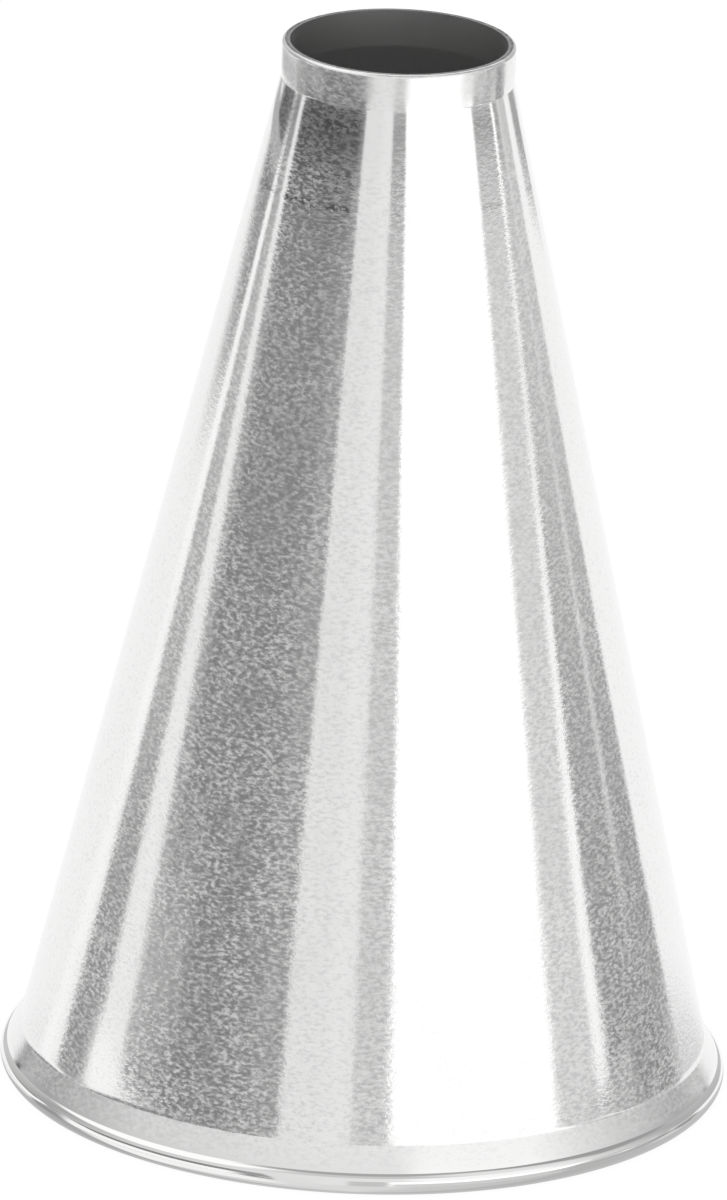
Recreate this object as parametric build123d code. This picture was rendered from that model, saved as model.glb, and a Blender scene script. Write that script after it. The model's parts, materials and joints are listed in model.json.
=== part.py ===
from build123d import *
import os
from math import acos, asin, atan2, cos, degrees, radians, sin, tan

# A plain round piping nozzle of thin drawn sheet, standing on its wide end.
# Origin at the centre of the base, +Z up along the nozzle to the tip. Millimetres.

# Driving sizes of the whole nozzle
height = 50.0
opening_diameter = 10.0
base_diameter = 33.8
sheet = 0.35

# Driving sizes of the tip
land_height = 1.7
neck_radius = 2.5
lip_rounding = 0.12

# Driving sizes of the base edge
wire_diameter = 0.4
wire_clearance = 0.02
wire_end_gap = 0.3
flare_radius = 2.0
curl_gap = 0.05
foot_flat = 0.03

# Radii of the tip and of the curl
tip_outer_radius = opening_diameter / 2 + sheet
curl_inner_radius = wire_diameter / 2 + wire_clearance
curl_outer_radius = curl_inner_radius + sheet

# The bead's centre, which lies on the line of the cone's outer face
bead_radius = base_diameter / 2 - curl_outer_radius
bead_height = curl_outer_radius - foot_flat

# The half angle of the cone, from where the land's and the cone's outer faces would meet
corner_height = height - land_height
half_angle = atan2(bead_radius - tip_outer_radius, corner_height - bead_height)

# The neck bends around a centre outside the land
neck_centre_radius = tip_outer_radius + neck_radius
neck_centre_height = corner_height + neck_radius * tan(half_angle / 2)

# The flare bends around a centre outside the cone, and its outer face meets the bead's
flare_reach = flare_radius + curl_outer_radius
join_angle = radians(90) + half_angle - asin(flare_radius / flare_reach)
flare_centre_radius = bead_radius + flare_reach * cos(join_angle)
flare_centre_height = bead_height + flare_reach * sin(join_angle)

# The curl runs round the bead until its free edge is one gap short of the flare's inner face.
# Three lengths give the angle between that edge and the flare's centre, seen from the bead's centre.
edge_reach = flare_radius + sheet + curl_gap
edge_cosine = (curl_outer_radius**2 + flare_reach**2 - edge_reach**2) / (2 * curl_outer_radius * flare_reach)
curl_sweep = radians(360) - acos(edge_cosine)
curl_end_angle = join_angle - curl_sweep

# The lip is cut square, and only its outer edge is rounded
lip_centre_radius = tip_outer_radius - lip_rounding
lip_centre_height = height - lip_rounding


def around(centre_radius, centre_height, radius, angle):
    """The point of the half section at an angle on a circle."""
    return (centre_radius + radius * cos(angle), centre_height + radius * sin(angle))


def sheet_line(depth, top):
    """The line that runs through the sheet at a depth under its outer face, from the lip's top to curl edge."""
    lip_end = (tip_outer_radius - depth, top)
    neck_start = (tip_outer_radius - depth, neck_centre_height)
    neck_bend = neck_radius + depth
    neck_end = around(neck_centre_radius, neck_centre_height, neck_bend, radians(180) + half_angle)
    flare_bend = flare_radius + depth
    flare_start = around(flare_centre_radius, flare_centre_height, flare_bend, radians(180) + half_angle)
    return [
        Line(lip_end, neck_start),
        CenterArc((neck_centre_radius, neck_centre_height), neck_bend, 180, degrees(half_angle)),
        Line(neck_end, flare_start),
        CenterArc(
            (flare_centre_radius, flare_centre_height),
            flare_bend,
            180 + degrees(half_angle),
            degrees(join_angle - half_angle),
        ),
        CenterArc(
            (bead_radius, bead_height),
            curl_outer_radius - depth,
            degrees(join_angle),
            -degrees(curl_sweep),
        ),
    ]


def cone_shell():
    """One drawn sheet: lip, land, neck, cone, flare and the curl around the wire."""
    lip = [
        CenterArc((lip_centre_radius, lip_centre_height), lip_rounding, 0, 90),
        Line((lip_centre_radius, height), (tip_outer_radius - sheet, height)),
    ]
    free_edge = Line(
        around(bead_radius, bead_height, curl_outer_radius, curl_end_angle),
        around(bead_radius, bead_height, curl_inner_radius, curl_end_angle),
    )
    outer_face = sheet_line(0, lip_centre_height)
    inner_face = sheet_line(sheet, height)
    section = make_face(lip + [free_edge] + outer_face + inner_face)
    # The underside of the bead is pressed flat, so that the nozzle stands on a narrow ring
    below = Pos(bead_radius, -curl_outer_radius) * Rectangle(2 * curl_outer_radius, 2 * curl_outer_radius)
    return revolve(Plane.XZ * (section - below), Axis.Z)


def rim_wire():
    """The wire inside the curl, bent to a ring whose ends nearly meet at the back."""
    gap_angle = degrees(wire_end_gap / bead_radius)
    section = Plane.XZ * Pos(bead_radius, bead_height) * Circle(wire_diameter / 2)
    return Rot(0, 0, 90 + gap_angle / 2) * revolve(section, Axis.Z, 360 - gap_angle)


nodes = {"cone_shell": cone_shell(), "rim_wire": rim_wire()}

os.makedirs("parts", exist_ok=True)
for name, solid in nodes.items():
    export_step(solid, f"parts/{name}.step")
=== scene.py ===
import json
from collections import namedtuple
from math import acos, asin, atan2, cos, pi, radians, sin, sqrt, tan

import bpy
from mathutils import Matrix, Vector


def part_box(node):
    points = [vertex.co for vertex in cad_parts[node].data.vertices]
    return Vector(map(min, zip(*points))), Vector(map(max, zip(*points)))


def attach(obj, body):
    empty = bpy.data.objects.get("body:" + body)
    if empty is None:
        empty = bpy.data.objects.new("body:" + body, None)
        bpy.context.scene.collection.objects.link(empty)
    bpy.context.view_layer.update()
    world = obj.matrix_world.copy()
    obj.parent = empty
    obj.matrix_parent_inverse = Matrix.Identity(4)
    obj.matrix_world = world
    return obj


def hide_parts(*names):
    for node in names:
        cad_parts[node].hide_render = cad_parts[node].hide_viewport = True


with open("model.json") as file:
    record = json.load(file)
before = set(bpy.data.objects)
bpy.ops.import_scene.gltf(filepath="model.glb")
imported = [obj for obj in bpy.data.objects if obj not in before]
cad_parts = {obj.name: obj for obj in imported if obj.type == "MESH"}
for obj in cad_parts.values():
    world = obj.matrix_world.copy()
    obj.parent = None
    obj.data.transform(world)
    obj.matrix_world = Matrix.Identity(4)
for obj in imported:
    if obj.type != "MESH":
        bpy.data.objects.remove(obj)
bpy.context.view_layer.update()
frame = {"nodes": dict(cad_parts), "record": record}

# A plain round piping nozzle of bright drawn sheet on a pale floor. Metres, +Z up, tip on top.
mm = 0.001

# Sizes that the frame gives: the shell's reach, the wire inside its curl and the bore of the tip
shell_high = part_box("cone_shell")[1]
wire_low, wire_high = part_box("rim_wire")
mounts = {mount["name"]: mount for mount in frame["record"]["mounts"]}
height = shell_high.z
base_radius = shell_high.x
wire_radius = (wire_high.z - wire_low.z) / 2
bead_radius = wire_high.x - wire_radius
bead_height = (wire_high.z + wire_low.z) / 2
bead_centre = (bead_radius, bead_height)
bore_radius = mounts["tip_bore"]["dims"]["r_mm"] * mm

# Sizes of the sheet and of its bends. The flare is one round bend inside, and a tighter one outside that
# runs on straight.
wire_clearance = 0.02 * mm
land_height = 1.7 * mm
neck_radius = 0.25 * mm
lip_rounding = 0.16 * mm
flare_radius = 2.0 * mm
flare_top = 2.3 * mm
flare_bend_radius = 1.0 * mm
flare_tilt = radians(30)
curl_gap = 0.05 * mm
curl_inner_radius = wire_radius + wire_clearance
curl_outer_radius = base_radius - bead_radius
sheet = curl_outer_radius - curl_inner_radius
tip_radius = bore_radius + sheet

# The cone, and the centres of the bends beside it
corner_height = height - land_height
half_angle = atan2(bead_radius - tip_radius, corner_height - bead_height)
neck_centre = (tip_radius + neck_radius, corner_height + neck_radius * tan(half_angle / 2))
flare_reach = flare_radius + curl_outer_radius
join_angle = pi / 2 + half_angle - asin(flare_radius / flare_reach)
flare_centre = (
    bead_radius + flare_reach * cos(join_angle),
    bead_height + flare_reach * sin(join_angle),
)

# The curl ends one gap short of the flare's inner face. Three lengths give the angle of its free edge.
edge_reach = flare_radius + sheet + curl_gap
edge_cosine = (curl_outer_radius**2 + flare_reach**2 - edge_reach**2) / (2 * curl_outer_radius * flare_reach)
curl_end_angle = join_angle - 2 * pi + acos(edge_cosine)

# Outside, the flare bends to its tilt and runs straight into the bead, which it meets in a crease
flare_start = (tip_radius + (corner_height - flare_top) * tan(half_angle), flare_top)
flare_bend_centre = (
    flare_start[0] + flare_bend_radius * cos(half_angle),
    flare_start[1] + flare_bend_radius * sin(half_angle),
)
flare_bend_end = (
    flare_bend_centre[0] - flare_bend_radius * cos(flare_tilt),
    flare_bend_centre[1] - flare_bend_radius * sin(flare_tilt),
)
bead_offset = (flare_bend_end[0] - bead_radius, flare_bend_end[1] - bead_height)
bead_aim = bead_offset[0] * sin(flare_tilt) - bead_offset[1] * cos(flare_tilt)
bead_reach = bead_offset[0] ** 2 + bead_offset[1] ** 2 - curl_outer_radius**2
flare_run = -bead_aim - sqrt(bead_aim**2 - bead_reach)
crease = (flare_bend_end[0] + flare_run * sin(flare_tilt), flare_bend_end[1] - flare_run * cos(flare_tilt))
crease_angle = atan2(crease[1] - bead_height, crease[0] - bead_radius)

# How finely the sheet is drawn: sides around it, steps along each bend and wall, and the turn between two
# faces from which their edge stays sharp
sides = 320
lip_steps = 9
neck_steps = 8
flare_steps = 16
curl_outer_steps = 50
curl_inner_steps = 30
wall_steps = 12
crease_turn = radians(20)


def bend(centre, radius, start, end, steps):
    """Points of the half section along a round bend."""
    angles = [start + (end - start) * step / steps for step in range(steps + 1)]
    return [(centre[0] + radius * cos(angle), centre[1] + radius * sin(angle)) for angle in angles]


def between_bends(start, end):
    """Points along a straight wall, closer together near its ends, and without the ends themselves."""
    shares = [(1 - cos(pi * step / wall_steps)) / 2 for step in range(1, wall_steps)]
    run = (end[0] - start[0], end[1] - start[1])
    return [(start[0] + run[0] * share, start[1] + run[1] * share) for share in shares]


def outer_face():
    """The half section's outer side, from the land down to the curl's free edge."""
    neck = bend(neck_centre, neck_radius, pi, pi + half_angle, neck_steps)
    flare = bend(flare_bend_centre, flare_bend_radius, pi + half_angle, pi + flare_tilt, flare_steps)
    curl = bend(bead_centre, curl_outer_radius, crease_angle, curl_end_angle, curl_outer_steps)
    land = between_bends((tip_radius, height - lip_rounding), neck[0])
    return land + neck + between_bends(neck[-1], flare[0]) + flare + curl


def inner_face():
    """The half section's inner side, from the lip down to the curl's free edge."""
    neck = bend(neck_centre, neck_radius + sheet, pi, pi + half_angle, neck_steps)
    flare = bend(flare_centre, flare_radius + sheet, pi + half_angle, pi + join_angle, flare_steps)
    curl = bend(bead_centre, curl_inner_radius, join_angle, curl_end_angle, curl_inner_steps)
    return [(bore_radius, height)] + neck + between_bends(neck[-1], flare[0]) + flare + curl[1:]


def half_section():
    """The closed outline of the sheet: down outside, around the curl, up inside and over the lip."""
    lip_centre = (tip_radius - lip_rounding, height - lip_rounding)
    lip = bend(lip_centre, lip_rounding, pi / 2, 0, lip_steps)
    # The bead's underside is pressed flat where the nozzle stands
    return [(radius, max(level, 0)) for radius, level in outer_face() + inner_face()[::-1] + lip]


def make_shell():
    """The drawn sheet, pulled up ring by ring from one circle along its half section, and closed."""
    outline = half_section()
    radius, level = outline[0]
    bpy.ops.object.select_all(action="DESELECT")
    bpy.ops.mesh.primitive_circle_add(vertices=sides, radius=radius, location=(0, 0, level))
    shell = bpy.context.active_object
    shell.name = "nozzle_shell"
    bpy.ops.object.transform_apply()
    bpy.ops.object.mode_set(mode="EDIT")
    bpy.ops.mesh.select_mode(type="EDGE")
    bpy.ops.mesh.select_all(action="SELECT")
    for next_radius, next_level in outline[1:]:
        step = (0, 0, next_level - level)
        bpy.ops.mesh.extrude_edges_move(TRANSFORM_OT_translate={"value": step})
        share = next_radius / radius
        bpy.ops.transform.resize(value=(share, share, 1), center_override=(0, 0, next_level))
        radius, level = next_radius, next_level
    bpy.ops.mesh.select_all(action="DESELECT")
    bpy.ops.mesh.select_non_manifold()
    bpy.ops.mesh.bridge_edge_loops()
    bpy.ops.mesh.select_all(action="SELECT")
    bpy.ops.mesh.normals_make_consistent(inside=False)
    bpy.ops.object.mode_set(mode="OBJECT")
    bpy.ops.object.shade_smooth_by_angle(angle=crease_turn)
    return shell


# A number that goes smoothly from before to after, while what it follows goes from start to end
Fade = namedtuple("Fade", "start end before after")


def feed(tree, value, socket):
    """Gives a socket a link or a plain number."""
    if isinstance(value, bpy.types.NodeSocket):
        tree.links.new(value, socket)
    else:
        socket.default_value = value


def calc(tree, operation, *values):
    """One step of arithmetic in a node tree."""
    node = tree.nodes.new("ShaderNodeMath")
    node.operation = operation
    for socket, value in zip(node.inputs, values):
        feed(tree, value, socket)
    return node.outputs[0]


def product(tree, result, *factors):
    """Several numbers multiplied."""
    for factor in factors:
        result = calc(tree, "MULTIPLY", result, factor)
    return result


def rise(tree, value, start, end):
    """Goes smoothly from 0 to 1 as the value goes from start to end."""
    node = tree.nodes.new("ShaderNodeMapRange")
    node.interpolation_type = "SMOOTHSTEP"
    feed(tree, value, node.inputs["Value"])
    node.inputs["From Min"].default_value = start
    node.inputs["From Max"].default_value = end
    return node.outputs["Result"]


def between(tree, mask, low, high):
    """A number that goes from low to high with a mask."""
    node = tree.nodes.new("ShaderNodeMix")
    feed(tree, mask, node.inputs[0])
    feed(tree, low, node.inputs[2])
    feed(tree, high, node.inputs[3])
    return node.outputs[0]


def faded(tree, value, fade):
    """A number that follows a value as a fade says."""
    return between(tree, rise(tree, value, fade.start, fade.end), fade.before, fade.after)


def coloured(tree, mask, low, high):
    """A colour that goes from low to high with a mask."""
    node = tree.nodes.new("ShaderNodeMix")
    node.data_type = "RGBA"
    feed(tree, mask, node.inputs[0])
    node.inputs[6].default_value = low
    node.inputs[7].default_value = high
    return node.outputs[2]


def grain(tree, place, size, stretch=(1.0, 1.0, 1.0), detail=2.0, roughness=0.55):
    """Noise with grains of one size, in metres, drawn out along the three axes by stretch."""
    mapping = tree.nodes.new("ShaderNodeMapping")
    mapping.inputs["Scale"].default_value = [1 / (size * share) for share in stretch]
    tree.links.new(place, mapping.inputs["Vector"])
    noise = tree.nodes.new("ShaderNodeTexNoise")
    noise.inputs["Scale"].default_value = 1.0
    noise.inputs["Detail"].default_value = detail
    noise.inputs["Roughness"].default_value = roughness
    tree.links.new(mapping.outputs[0], noise.inputs["Vector"])
    return noise.outputs["Fac"]


def raised(tree, level, depth, under=None):
    """A normal for a surface that a level between 0 and 1 raises by up to a depth, in metres."""
    node = tree.nodes.new("ShaderNodeBump")
    node.inputs["Distance"].default_value = depth
    node.inputs["Strength"].default_value = 1.0
    tree.links.new(level, node.inputs["Height"])
    if under is not None:
        tree.links.new(under, node.inputs["Normal"])
    return node.outputs[0]


def along_axes(tree, place):
    """A node with a place's distances along X, Y and Z."""
    split = tree.nodes.new("ShaderNodeSeparateXYZ")
    tree.links.new(place, split.inputs[0])
    return split


def reach_of(tree, split):
    """How far a place lies from the nozzle's axis, in metres."""
    across = calc(tree, "POWER", split.outputs["X"], 2)
    along = calc(tree, "POWER", split.outputs["Y"], 2)
    return calc(tree, "SQRT", calc(tree, "ADD", across, along))


def azimuth_of(tree, split):
    """The azimuth in degrees of a place, 0 in front and + to the right."""
    turn = calc(tree, "ARCTAN2", split.outputs["X"], calc(tree, "MULTIPLY", split.outputs["Y"], -1))
    return calc(tree, "DEGREES", turn)


def depth_under(tree, reach, level):
    """How deep a place lies under the cone's outer face, in metres, measured level."""
    drop = calc(tree, "MAXIMUM", calc(tree, "SUBTRACT", corner_height, level), 0)
    outer = calc(tree, "MULTIPLY_ADD", drop, tan(half_angle), tip_radius)
    return calc(tree, "SUBTRACT", outer, reach)


def new_finish(name):
    """A new material with its node tree, its shader and the place that its patterns follow."""
    material = bpy.data.materials.new(name)
    material.use_nodes = True
    tree = material.node_tree
    place = tree.nodes.new("ShaderNodeTexCoord").outputs["Object"]
    return material, tree, tree.nodes["Principled BSDF"], place


# Where the sheet's finish changes: depths under the outer face, and heights up the nozzle. Each pair is
# where a change starts and where it ends.
inner_side = (0.45 * sheet, 0.9 * sheet)
bead_edge = (bead_height + 0.56 * mm, bead_height + 0.76 * mm)
flare_edge = (flare_top + 0.6 * mm, flare_top - 0.3 * mm)
land_edge = (corner_height - 0.2 * mm, corner_height + 0.2 * mm)
land_sheen_edge = (corner_height - 0.3 * mm, corner_height + 0.9 * mm)
draw_mark_edge = (corner_height - 4.75 * mm, corner_height - 4.35 * mm)

# The grain: short dull specks that lie across the cone, and the pits between them
speck_size = 0.28 * mm
speck_stretch = (1.0, 1.0, 0.52)
speck_noise = (0.38, 0.72)
speck_dullness = 0.46
pit_noise = (0.50, 0.33)

# How strong the grain is: uneven, fainter up the cone, above the draw mark and on the flare
patch_size = 2.6 * mm
patch_stretch = (1.0, 1.0, 1.8)
patch_grain = Fade(0.35, 0.65, 0.8, 1.2)
cone_grain = Fade(5 * mm, corner_height - 6.3 * mm, 1.1, 0.75)
neck_grain = Fade(corner_height - 3.8 * mm, corner_height - 1.3 * mm, 1.0, 0.4)
flare_grain = Fade(flare_top - 0.7 * mm, flare_top + 0.5 * mm, 0.45, 1.0)
land_grain = 0.8

# The sheet's roughness: wiped and smudged outside, with more on the flare and on the land, and dull inside
smudge_size = 6.0 * mm
smudge_roughness = Fade(0.35, 0.7, 0.06, 0.09)
flare_roughness = 0.07
land_roughness = 0.12
inner_roughness = 0.30

# The sheet's relief: slow ripples, the grain and the draw mark
ripple_size = 2.4 * mm
ripple_stretch = (1.0, 1.0, 1.6)
ripple_depth = 0.003 * mm
speck_depth = 0.0012 * mm
draw_mark_depth = 0.002 * mm

# The sheet's colour, and how far a smudge and a pit take it from the bright tone to the dark one
bright_sheet = (0.90, 0.90, 0.895, 1)
dark_sheet = (0.77, 0.77, 0.767, 1)
smudge_tone = 0.2
pit_tone = 0.7


def grain_strength(tree, place, level, inside):
    """How strong the grain is from place to place, with none on the bead and inside."""
    under_land = faded(tree, level, neck_grain)
    patches = grain(tree, place, patch_size, patch_stretch)
    return product(
        tree,
        between(tree, rise(tree, level, *land_edge), under_land, land_grain),
        faded(tree, level, cone_grain),
        faded(tree, level, flare_grain),
        rise(tree, level, *bead_edge),
        faded(tree, patches, patch_grain),
        calc(tree, "SUBTRACT", 1, inside),
    )


def sheet_roughness(tree, smudge, level, inside):
    """How rough the sheet is from place to place."""
    outside = faded(tree, smudge, smudge_roughness)
    on_flare = product(tree, rise(tree, level, *bead_edge), rise(tree, level, *flare_edge))
    outside = calc(tree, "MULTIPLY_ADD", on_flare, flare_roughness, outside)
    on_land = rise(tree, level, *land_sheen_edge)
    outside = calc(tree, "MULTIPLY_ADD", on_land, land_roughness, outside)
    return between(tree, inside, outside, inner_roughness)


def sheet_relief(tree, place, specks, level):
    """The tools' slow unevenness, the specks, and the step that was left around the cone under the neck."""
    ripple = grain(tree, place, ripple_size, ripple_stretch, detail=1.0)
    relief = raised(tree, ripple, ripple_depth)
    relief = raised(tree, specks, speck_depth, relief)
    below_mark = calc(tree, "SUBTRACT", 1, rise(tree, level, *draw_mark_edge))
    return raised(tree, below_mark, draw_mark_depth, relief)


def drawn_sheet_steel():
    """Bright drawn sheet: mirror-like with a fine pressed grain on the cone outside, and duller inside."""
    material, tree, shader, place = new_finish("drawn_sheet_steel")
    split = along_axes(tree, place)
    level = split.outputs["Z"]
    inside = rise(tree, depth_under(tree, reach_of(tree, split), level), *inner_side)
    dashes = grain(tree, place, speck_size, speck_stretch, roughness=0.6)
    strength = grain_strength(tree, place, level, inside)
    specks = product(tree, rise(tree, dashes, *speck_noise), strength)
    pits = product(tree, rise(tree, dashes, *pit_noise), strength)
    smudge = grain(tree, place, smudge_size, detail=4.0)
    feed(tree, calc(tree, "MULTIPLY_ADD", specks, -speck_dullness, 1), shader.inputs["Metallic"])
    feed(tree, sheet_roughness(tree, smudge, level, inside), shader.inputs["Roughness"])
    feed(tree, sheet_relief(tree, place, specks, level), shader.inputs["Normal"])
    darkness = calc(tree, "MULTIPLY_ADD", smudge, smudge_tone, product(tree, pits, pit_tone))
    feed(tree, coloured(tree, darkness, bright_sheet, dark_sheet), shader.inputs["Base Color"])
    return material


# The wire's finish: the fine lines that its die left along it, and dull stretches
die_line_size = 0.03 * mm
die_line_depth = 0.002 * mm
dull_size = 1.5 * mm
wire_roughness = (0.25, 0.45)
bright_wire = (0.64, 0.64, 0.63, 1)
dull_wire = (0.55, 0.55, 0.54, 1)


def drawn_wire_steel():
    """Plain wire with the fine lines that its die left along it."""
    material, tree, shader, place = new_finish("drawn_wire_steel")
    shader.inputs["Metallic"].default_value = 1.0
    split = along_axes(tree, place)
    section = tree.nodes.new("ShaderNodeCombineXYZ")
    feed(tree, reach_of(tree, split), section.inputs["X"])
    feed(tree, split.outputs["Z"], section.inputs["Y"])
    lines = grain(tree, section.outputs[0], die_line_size)
    dull = grain(tree, place, dull_size, detail=3.0)
    feed(tree, raised(tree, lines, die_line_depth), shader.inputs["Normal"])
    feed(tree, between(tree, dull, *wire_roughness), shader.inputs["Roughness"])
    feed(tree, coloured(tree, dull, bright_wire, dull_wire), shader.inputs["Base Color"])
    return material


# The card wall: a ring around the nozzle that only the metal sees. Its cards are painted by azimuth in
# degrees, 0 in front and + to the right, and by height above the floor in millimetres. What one level line
# of the cone mirrors lies along an arch on the wall, which is wall_arch lower at arch_turn than in front.
# A card's low and high end follow that arch, and so does the wall's top, which is higher behind.
wall_radius = 300 * mm
wall_low = -110 * mm
wall_high = 115 * mm
wall_light = 0.6
wall_arch = 47
arch_turn = 100
wall_top = Fade(152, 164, 97.5, 118)
wall_top_soft = 1

# A card's sides fade over soft, in degrees, and its ends over soft_end, in millimetres. Without a low or a
# high end it runs on everywhere. A leaning edge is a place at the floor's height, a lean in degrees for each
# millimetre, a bow, and the lowest height down to which it leans.
everywhere = 9999
card_sides = "left right light soft low high soft_end"
Card = namedtuple("Card", card_sides, defaults=(3, -everywhere, everywhere, 6))
Edge = namedtuple("Edge", "place lean bow lowest", defaults=(-everywhere,))

left_line = Edge(-112.4, 0.08, -0.0012)
left_line_outer = Edge(-118.6, 0.13, -0.0018)
left_line_inner = Edge(-113.1, 0.13, -0.0018)
streak_left = Edge(-99.0, 0.04, -0.0038, -5)
streak_right = Edge(-86.0, -0.1, -0.0038, -5)
shoulder_right = Edge(-79.0, -0.1, -0.0038, -5)
strip_left = Edge(-25.5, -0.035, 0, -5)
white_right = Edge(66.4, 0.03, 0.0018, -5)
thin_left = Edge(83.1, 0.0, 0.0086)
thin_right = Edge(88.8, -0.01, 0.0082)
middle_left = Edge(108.5, 0.05, 0)
middle_right = Edge(112, 0.05, 0)
right_line = Edge(124, -0.06, 0.0012)

cards = (
    # Left of the nozzle: the gap between the two bright lines, and the pale field behind them
    Card(-135, -90, 0.50, soft=4),
    Card(-135, -90, 0.33, soft=4, high=47, soft_end=30),
    Card(-135, -90, 0.09, soft=4, low=91.5, soft_end=3),
    Card(-200, left_line, 0.98),
    Card(-172, -124, 0.80, soft=8, high=27, soft_end=8),
    Card(-131, left_line, 0.35, soft=14, low=74, soft_end=12),
    Card(-136, left_line, 0.35, soft=16, low=84, soft_end=7),
    Card(-141, left_line, 0.07, soft=16, low=90, soft_end=9),
    Card(left_line_outer, left_line_inner, 1.05, high=90, soft_end=4),
    # The broad dark card on the left, deeper along its top
    Card(streak_right, -25, 0.26),
    Card(streak_right, shoulder_right, 0.40, soft=6, high=82, soft_end=10),
    Card(-92, -68, 0.48, soft=12, low=28, high=40, soft_end=8),
    Card(-46, -25, 0.29, soft=6),
    Card(-37, -25, 0.355, soft=6),
    Card(-104, -34, 0.075, soft=10, low=87, soft_end=6),
    Card(-104, -30, 0.025, soft=10, low=90, soft_end=4),
    Card(streak_left, streak_right, 0.93, soft=4, low=20),
    # In front: a light strip, a narrow grey one and the broad white one
    Card(strip_left, -2.5, 0.81, soft=2.5),
    Card(-12, -2.5, 0.86, soft=8),
    Card(-2.5, 9, 0.61, soft=2.5),
    Card(-2.5, 9, 0.20, low=90, soft_end=11),
    Card(9.4, 100, 1.27, soft=2.5),
    # Right of the nozzle: grey, a thin white line, grey, a bright line and the pale field
    Card(white_right, 200, 0.69, soft=4),
    Card(white_right, 100, 0.23, soft=4, low=90, soft_end=8),
    Card(thin_right, 140, 0.62),
    Card(thin_right, 140, 0.35, high=62, soft_end=50),
    Card(thin_right, 109, 0.30, soft=5, low=90, soft_end=8),
    Card(thin_left, thin_right, 1.1, soft=2),
    Card(thin_left, thin_right, 1.3, soft=2, low=83, soft_end=8),
    Card(middle_left, middle_right, 0.69, low=40, soft_end=12),
    Card(right_line, 200, 1.0),
    Card(118, 175, 0.60, soft=8, high=31, soft_end=9),
    Card(thin_right, 124, 0.30, soft=6, high=31, soft_end=9),
    Card(134, 150, 0.38, soft=6, low=90, soft_end=8),
)

# The level band of the wall that the short land sees, and the cards that hang there over the others
land_band = (-50, -34)
land_band_soft = 3
land_cards = (
    Card(-115, -103, 0.40),
    Card(-103, -30, 0.19),
    Card(-30, -2.5, 0.82),
    Card(-2.5, 8, 0.60),
    Card(8.5, 80, 1.2),
    Card(80, 104, 0.45),
    Card(104, 113, 0.66),
)

# A low ring of cards close to the nozzle, under the cone's view, where only the bead looks. It has a white
# card on the left and grey ones on the right, with gaps in front and behind.
low_ring_radius = 60 * mm
low_ring_low = -16 * mm
low_ring_high = 1.5 * mm
low_ring_left = (-92, -32)
low_ring_right = (9, 92)
low_ring_soft = 8
low_ring_front_soft = 3
low_ring_lights = ((-32, 1.05), (5, 0.72), (54, 0.66), (62, 0.5), (92, 0.48))

# A small grey card beside the tip, on the left, where the land's far end looks
tip_ring_radius = 20 * mm
tip_ring_low = 42.8 * mm
tip_ring_high = 44.8 * mm
tip_ring_low_soft = 0.6 * mm
tip_ring_high_soft = 0.3 * mm
tip_card = (-146, -103)
tip_card_left_soft = 20
tip_card_right_soft = 4
tip_card_light = 0.45

# The tent's light by azimuth, from straight behind over the left, the front and the right to behind again
low_ceiling = ((-180, 0.6), (-155, 0.64), (-135, 0.52), (-118, 0.40), (-80, 0.68), (-20, 0.83), (15, 0.86),
               (22, 1.04), (62, 1.04), (80, 0.80), (120, 0.45), (160, 0.57), (180, 0.6))
high_ceiling = ((-180, 0.6), (-150, 0.7), (-130, 1.1), (-50, 1.1), (-38, 0.72), (-24, 0.65), (28, 0.62),
                (50, 0.85), (84, 0.85), (98, 0.38), (140, 0.36), (180, 0.6))
low_ground = ((-180, 0.6), (-105, 0.42), (-94, 1.0), (-36, 1.0), (-24, 0.8), (12, 0.75), (20, 0.66),
              (64, 0.6), (76, 0.5), (180, 0.6))
deep_ground = ((-180, 0.6), (-150, 0.62), (-110, 0.42), (-90, 0.66), (-60, 0.72), (0, 0.78), (20, 0.66),
               (60, 0.6), (76, 0.5), (180, 0.6))

# The tent's size and its other bounds, in degrees of rise over the floor and of turn away from the front
tent_radius = 3.0
horizon = (-4, 4)
deep_ground_top = (-56, -50)
high_ceiling_start = Fade(20, 90, 50, 36)
high_ceiling_soft = 5
overhead = (68, 78)
overhead_light = 0.42
behind = (150, 162)
back_patch = Fade(170, 176, 0.6, 0.13)
back_patch_top = (26, 32)
over_back_patch = 1.1


def edge_at(tree, edge, level):
    """Where a card's edge is at a height: a number, or a socket if the edge leans."""
    if not isinstance(edge, Edge):
        return edge
    level = calc(tree, "MAXIMUM", level, edge.lowest)
    slope = calc(tree, "MULTIPLY_ADD", level, edge.bow, edge.lean)
    return calc(tree, "MULTIPLY_ADD", level, slope, edge.place)


def beyond(tree, value, edge, soft):
    """0 before an edge and 1 beyond it, with a soft step."""
    return rise(tree, calc(tree, "SUBTRACT", value, edge), -soft / 2, soft / 2)


def within(tree, value, low, high, low_soft, high_soft):
    """1 between two edges and 0 outside them, with a soft step at each."""
    return product(tree, beyond(tree, value, low, low_soft), beyond(tree, high, value, high_soft))


def hang_card(tree, light, azimuth, level, arched, card):
    """Paints one card over the light that is there already."""
    left = edge_at(tree, card.left, level)
    right = edge_at(tree, card.right, level)
    mask = within(tree, azimuth, left, right, card.soft, card.soft)
    if card.low > -everywhere:
        mask = product(tree, mask, beyond(tree, arched, card.low, card.soft_end))
    if card.high < everywhere:
        mask = product(tree, mask, beyond(tree, card.high, arched, card.soft_end))
    return between(tree, mask, light, card.light)


# A full turn in degrees, and the front's place along a row of panels
full_turn = 360
front = 0.5


def panels(tree, azimuth, stops):
    """Light that changes evenly between stops of azimuth and strength."""
    ramp = tree.nodes.new("ShaderNodeValToRGB")
    tree.links.new(calc(tree, "MULTIPLY_ADD", azimuth, 1 / full_turn, front), ramp.inputs["Fac"])
    elements = ramp.color_ramp.elements
    while len(elements) < len(stops):
        elements.new(front)
    for element, (turn, light) in zip(elements, stops):
        element.position = turn / full_turn + front
        element.color = (light, light, light, 1)
    return ramp.outputs["Color"]


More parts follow.
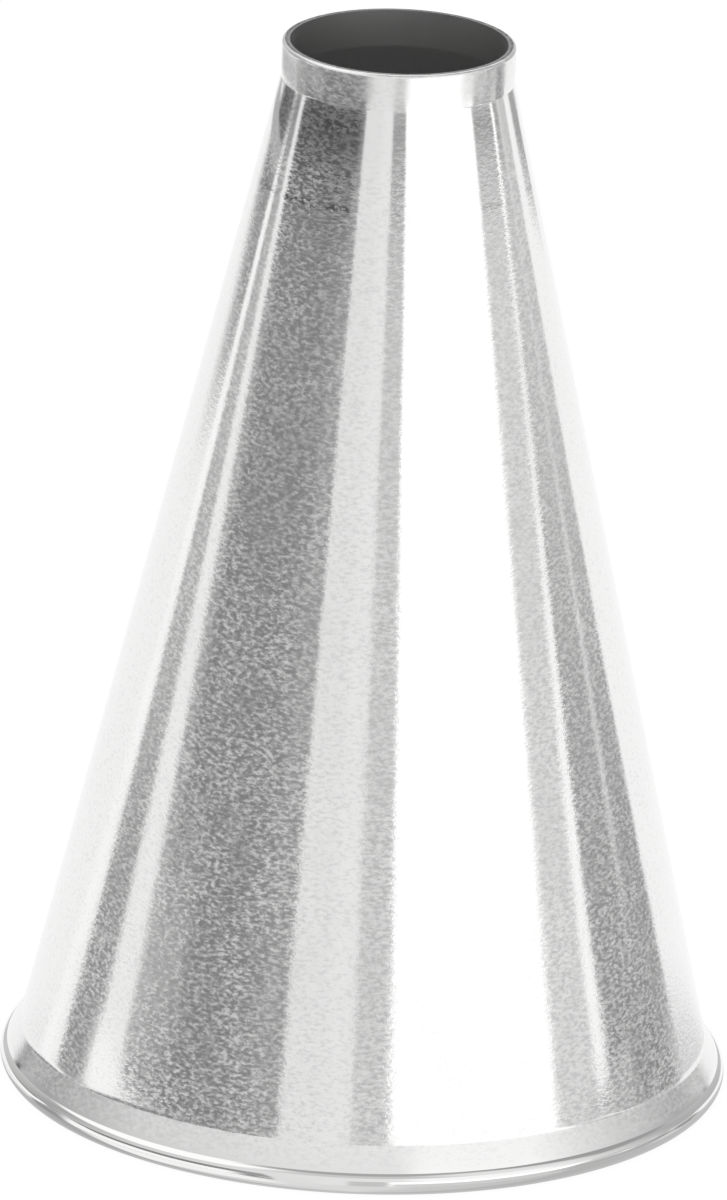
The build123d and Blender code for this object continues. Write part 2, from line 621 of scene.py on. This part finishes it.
def paint_wall(tree, place):
    """The cards on the wall, which ends along its arch. Gives the light, and how much of it is left out."""
    split = along_axes(tree, place)
    azimuth = azimuth_of(tree, split)
    turned = calc(tree, "ABSOLUTE", azimuth)
    level = calc(tree, "DIVIDE", split.outputs["Z"], mm)
    turn = calc(tree, "POWER", calc(tree, "DIVIDE", turned, arch_turn), 2)
    arched = calc(tree, "MULTIPLY_ADD", turn, wall_arch, level)
    light = wall_light
    for card in cards:
        light = hang_card(tree, light, azimuth, level, arched, card)
    land_light = light
    for card in land_cards:
        land_light = hang_card(tree, land_light, azimuth, level, arched, card)
    band = within(tree, level, *land_band, land_band_soft, land_band_soft)
    light = between(tree, band, light, land_light)
    return light, beyond(tree, arched, faded(tree, turned, wall_top), wall_top_soft)


def paint_low_ring(tree, place):
    """The low ring's cards, with nothing between them."""
    azimuth = azimuth_of(tree, along_axes(tree, place))
    left = within(tree, azimuth, *low_ring_left, low_ring_soft, low_ring_soft)
    right = within(tree, azimuth, *low_ring_right, low_ring_front_soft, low_ring_soft)
    return panels(tree, azimuth, low_ring_lights), calc(tree, "SUBTRACT", 1, calc(tree, "ADD", left, right))


def paint_tip_ring(tree, place):
    """The grey card beside the tip, with nothing around it."""
    split = along_axes(tree, place)
    azimuth = azimuth_of(tree, split)
    level = split.outputs["Z"]
    shown = product(
        tree,
        within(tree, azimuth, *tip_card, tip_card_left_soft, tip_card_right_soft),
        rise(tree, level, tip_ring_low, tip_ring_low + tip_ring_low_soft),
        rise(tree, level, tip_ring_high, tip_ring_high - tip_ring_high_soft),
    )
    return tip_card_light, calc(tree, "SUBTRACT", 1, shown)


def paint_tent(tree, place):
    """The pale tent above and below the wall, darker straight above and in one patch behind."""
    way = tree.nodes.new("ShaderNodeVectorMath")
    way.operation = "NORMALIZE"
    tree.links.new(place, way.inputs[0])
    split = along_axes(tree, way.outputs[0])
    azimuth = azimuth_of(tree, split)
    turned = calc(tree, "ABSOLUTE", azimuth)
    rising = calc(tree, "DEGREES", calc(tree, "ARCSINE", split.outputs["Z"]))
    upper = beyond(tree, rising, faded(tree, turned, high_ceiling_start), high_ceiling_soft)
    ceiling = between(tree, upper, panels(tree, azimuth, low_ceiling), panels(tree, azimuth, high_ceiling))
    patch = faded(tree, turned, back_patch)
    back = between(tree, rise(tree, rising, *back_patch_top), patch, over_back_patch)
    ceiling = between(tree, rise(tree, turned, *behind), ceiling, back)
    ceiling = between(tree, rise(tree, rising, *overhead), ceiling, overhead_light)
    deep = panels(tree, azimuth, deep_ground)
    ground = between(tree, rise(tree, rising, *deep_ground_top), deep, panels(tree, azimuth, low_ground))
    return between(tree, rise(tree, rising, *horizon), ground, ceiling), 0


def bare_material(name):
    """A new material whose node tree is empty."""
    material = bpy.data.materials.new(name)
    material.use_nodes = True
    material.node_tree.nodes.clear()
    return material, material.node_tree


def show_mix(tree, share, first, second):
    """Shows the first shader on the surface, and the second one over it as far as share says."""
    mix = tree.nodes.new("ShaderNodeMixShader")
    feed(tree, share, mix.inputs[0])
    tree.links.new(first.outputs[0], mix.inputs[1])
    tree.links.new(second.outputs[0], mix.inputs[2])
    output = tree.nodes.new("ShaderNodeOutputMaterial")
    tree.links.new(mix.outputs[0], output.inputs["Surface"])


def painted(name, paint):
    """A glowing paint whose strength, and how much of it is left out, come from the place in the studio."""
    material, tree = bare_material(name)
    place = tree.nodes.new("ShaderNodeTexCoord").outputs["Object"]
    light, left_out = paint(tree, place)
    glow = tree.nodes.new("ShaderNodeEmission")
    feed(tree, light, glow.inputs["Strength"])
    show_mix(tree, left_out, glow, tree.nodes.new("ShaderNodeBsdfTransparent"))
    return material


def seen_by_metal_only(thing):
    """Hides a part of the studio from the camera and from the floor."""
    thing.visible_camera = False
    thing.visible_diffuse = False
    thing.visible_shadow = False


ring_sides = 180


def hang_ring(name, radius, low, high, paint):
    """A ring of painted cards around the nozzle."""
    bpy.ops.object.select_all(action="DESELECT")
    bpy.ops.mesh.primitive_cylinder_add(
        vertices=ring_sides,
        radius=radius,
        depth=high - low,
        end_fill_type="NOTHING",
        location=(0, 0, (high + low) / 2),
    )
    ring = bpy.context.active_object
    ring.name = name
    bpy.ops.object.transform_apply()
    bpy.ops.object.shade_smooth()
    ring.data.materials.append(painted(f"painted_{name}", paint))
    seen_by_metal_only(ring)


def pitch_tent():
    """The pale tent around the nozzle."""
    bpy.ops.object.select_all(action="DESELECT")
    bpy.ops.mesh.primitive_ico_sphere_add(subdivisions=5, radius=tent_radius)
    tent = bpy.context.active_object
    tent.name = "pale_tent"
    tent.data.materials.append(painted("pale_tent_cloth", paint_tent))
    seen_by_metal_only(tent)


def light_room():
    """A plain white room, which is also what the camera sees behind the nozzle."""
    world = bpy.data.worlds.new("white_room")
    bpy.context.scene.world = world
    world.use_nodes = True
    world.node_tree.nodes["Background"].inputs["Color"].default_value = (1, 1, 1, 1)
    world.node_tree.nodes["Background"].inputs["Strength"].default_value = 1.0


# The floor's paper, which glows white for the camera but keeps a share of the nozzle's shadow
floor_radius = 1.2
floor_sides = 96
floor_paper = (0.9, 0.9, 0.9, 1)
floor_glow = 1.03
floor_glow_share = 0.9

# Painted shade: grey paper under the nozzle stands in for the floor's shade there, with a faint painted glow
# that lights the inside of the nozzle. It lies a hair under the floor, where only the metal sees it.
shaded_depth = 0.01 * mm
painted_shade_paper = (0.5, 0.5, 0.5, 1)
painted_fill_glow = 0.03


def lay_paper(name, radius, level):
    """A round sheet of paper, lying flat."""
    bpy.ops.object.select_all(action="DESELECT")
    bpy.ops.mesh.primitive_circle_add(
        vertices=floor_sides, radius=radius, fill_type="NGON", location=(0, 0, level)
    )
    paper = bpy.context.active_object
    paper.name = name
    return paper


def pale_paper():
    """Paper that is white to the camera, but for the nozzle's soft shadow."""
    material, tree = bare_material("pale_paper")
    paper = tree.nodes.new("ShaderNodeBsdfDiffuse")
    paper.inputs["Color"].default_value = floor_paper
    glow = tree.nodes.new("ShaderNodeEmission")
    glow.inputs["Strength"].default_value = floor_glow
    path = tree.nodes.new("ShaderNodeLightPath")
    seen = calc(tree, "MAXIMUM", path.outputs["Is Camera Ray"], path.outputs["Is Glossy Ray"])
    seen = calc(tree, "MAXIMUM", seen, path.outputs["Is Transmission Ray"])
    show_mix(tree, product(tree, seen, floor_glow_share), paper, glow)
    return material


def painted_shade_finish():
    """Grey paper with painted shade, and a faint painted glow."""
    material = bpy.data.materials.new("painted_shade_paper")
    material.use_nodes = True
    shader = material.node_tree.nodes["Principled BSDF"]
    # Painted shade and painted glow: this grey and faint glow stand in for the shade under the nozzle and
    # the light inside it
    shader.inputs["Base Color"].default_value = painted_shade_paper
    shader.inputs["Roughness"].default_value = 1.0
    shader.inputs["Emission Color"].default_value = (1, 1, 1, 1)
    shader.inputs["Emission Strength"].default_value = painted_fill_glow
    return material


def lay_floor():
    """A plain pale floor that the metal doesn't mirror, and painted shade under the nozzle that it does."""
    floor = lay_paper("pale_floor", floor_radius, 0)
    floor.visible_glossy = False
    floor.data.materials.append(pale_paper())
    # Painted shade under the nozzle: grey paper with a faint painted glow, which only the metal sees
    disc = lay_paper("floor_under_nozzle", bead_radius, -shaded_depth)
    disc.data.materials.append(painted_shade_finish())


# The camera looks down a little from in front, from as far as the photograph was taken
camera_distance = 0.6890396
camera_rise = radians(18.8904)
camera_pan = radians(0.0587)
camera_tilt = radians(-0.1571)
camera_roll = radians(2.1068)
lens = 447.6
sensor_width = 36
nearest = 0.05


def set_camera():
    """The camera at the photograph's viewing angle."""
    data = bpy.data.cameras.new("camera")
    data.lens = lens
    data.sensor_width = sensor_width
    data.clip_start = nearest
    camera = bpy.data.objects.new("camera", data)
    bpy.context.scene.collection.objects.link(camera)
    middle = Vector((0, 0, height / 2))
    stand = middle + camera_distance * Vector((0, -cos(camera_rise), sin(camera_rise)))
    aim = Matrix.Rotation(pi / 2 - camera_rise, 4, "X")
    aim = aim @ Matrix.Rotation(camera_pan, 4, "Y")
    aim = aim @ Matrix.Rotation(camera_tilt, 4, "X")
    aim = aim @ Matrix.Rotation(camera_roll, 4, "Z")
    camera.matrix_world = Matrix.Translation(stand) @ aim
    bpy.context.scene.camera = camera


shell = make_shell()
shell.data.materials.append(drawn_sheet_steel())
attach(shell, "root")
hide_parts("cone_shell")

wire = frame["nodes"]["rim_wire"]
wire.data.materials.clear()
wire.data.materials.append(drawn_wire_steel())

hang_ring("card_wall", wall_radius, wall_low, wall_high, paint_wall)
hang_ring("low_ring", low_ring_radius, low_ring_low, low_ring_high, paint_low_ring)
hang_ring("tip_ring", tip_ring_radius, tip_ring_low, tip_ring_high, paint_tip_ring)
pitch_tent()
light_room()
lay_floor()
set_camera()
bpy.context.scene.view_settings.view_transform = "Standard"
